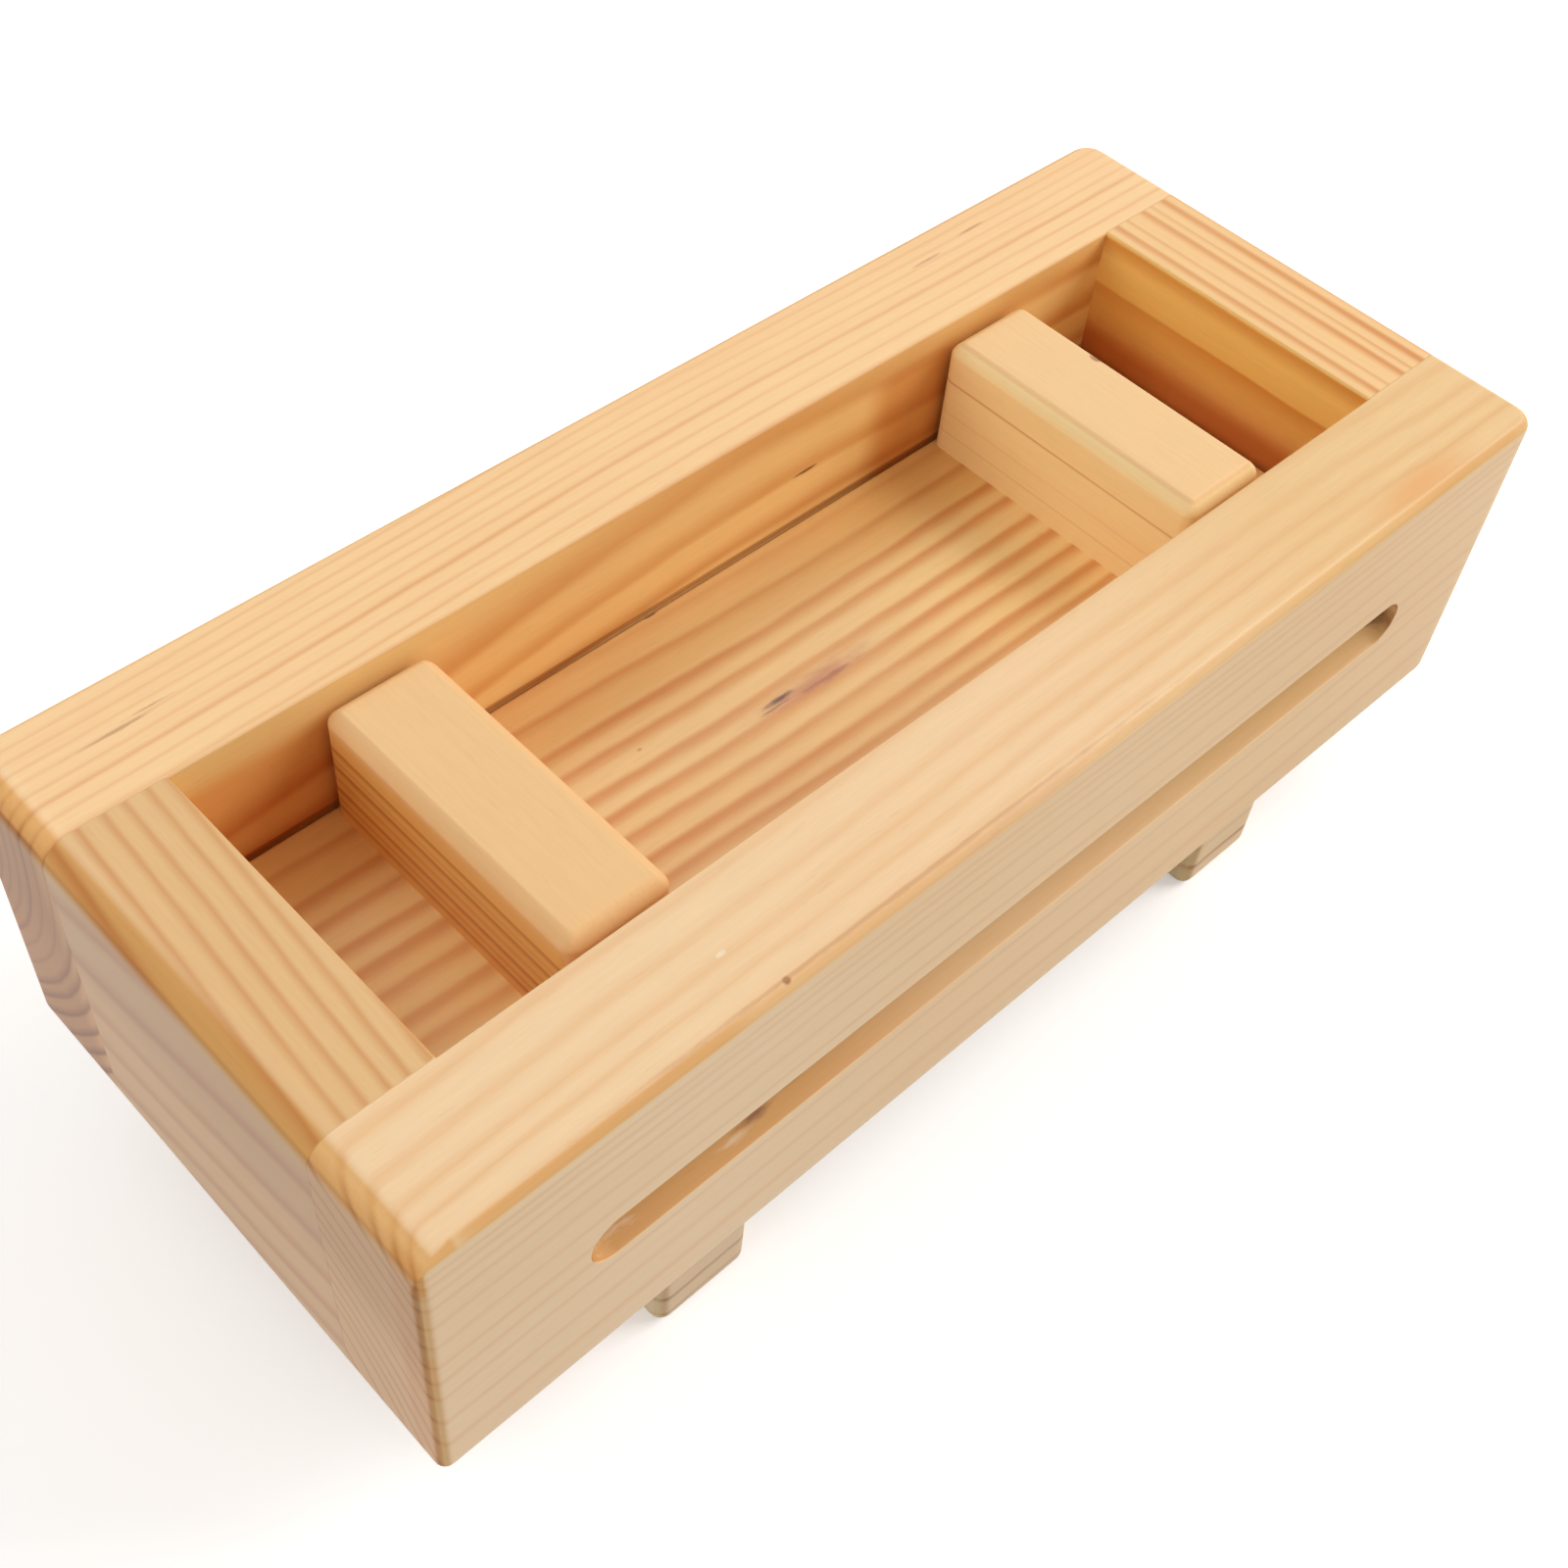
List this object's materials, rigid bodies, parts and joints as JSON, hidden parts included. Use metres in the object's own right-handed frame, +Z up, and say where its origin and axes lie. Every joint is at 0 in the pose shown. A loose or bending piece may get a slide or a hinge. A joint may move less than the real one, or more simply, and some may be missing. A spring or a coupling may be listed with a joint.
{
  "type": "sushi rice mold press",
  "caption": "Wooden box press for rice: an open frame of rails on a footed base board, with a press board on cross handles that slides down inside it.",
  "frame": {"origin": "middle of the footprint, on the surface that the feet stand on", "axes": "+X along the press (left to right in the picture), +Y from the front rail to the back rail, +Z up"},
  "size_m": [0.25, 0.108, 0.089],
  "materials": {
    "rail_pine": "planed pine under satin clear lacquer",
    "board_pine": "planed pine under satin clear lacquer, strong lengthwise grain",
    "block_pine": "planed pine under satin clear lacquer",
    "dowel_beech": "bare fluted beech, glued"
  },
  "bodies": {
    "base": {"base_board": "board_pine", "left_foot": "block_pine", "right_foot": "block_pine", "left_foot_front_dowel": "dowel_beech", "left_foot_back_dowel": "dowel_beech", "right_foot_front_dowel": "dowel_beech", "right_foot_back_dowel": "dowel_beech"},
    "frame": {"front_rail": "rail_pine", "back_rail": "rail_pine", "left_end_rail": "rail_pine", "right_end_rail": "rail_pine", "front_left_upper_dowel": "dowel_beech", "front_left_lower_dowel": "dowel_beech", "front_right_upper_dowel": "dowel_beech", "front_right_lower_dowel": "dowel_beech", "back_left_upper_dowel": "dowel_beech", "back_left_lower_dowel": "dowel_beech", "back_right_upper_dowel": "dowel_beech", "back_right_lower_dowel": "dowel_beech"},
    "press": {"press_board": "board_pine", "left_handle": "block_pine", "right_handle": "block_pine", "left_handle_front_dowel": "dowel_beech", "left_handle_back_dowel": "dowel_beech", "right_handle_front_dowel": "dowel_beech", "right_handle_back_dowel": "dowel_beech"}
  },
  "joints": [
    {"name": "frame_lift", "type": "slide", "parent": "base", "child": "frame", "axis": [0, 0, 1], "range_m": [0, 0.065]},
    {"name": "press_lift", "type": "slide", "parent": "base", "child": "press", "axis": [0, 0, 1], "range_m": [0, 0.05]}
  ]
}
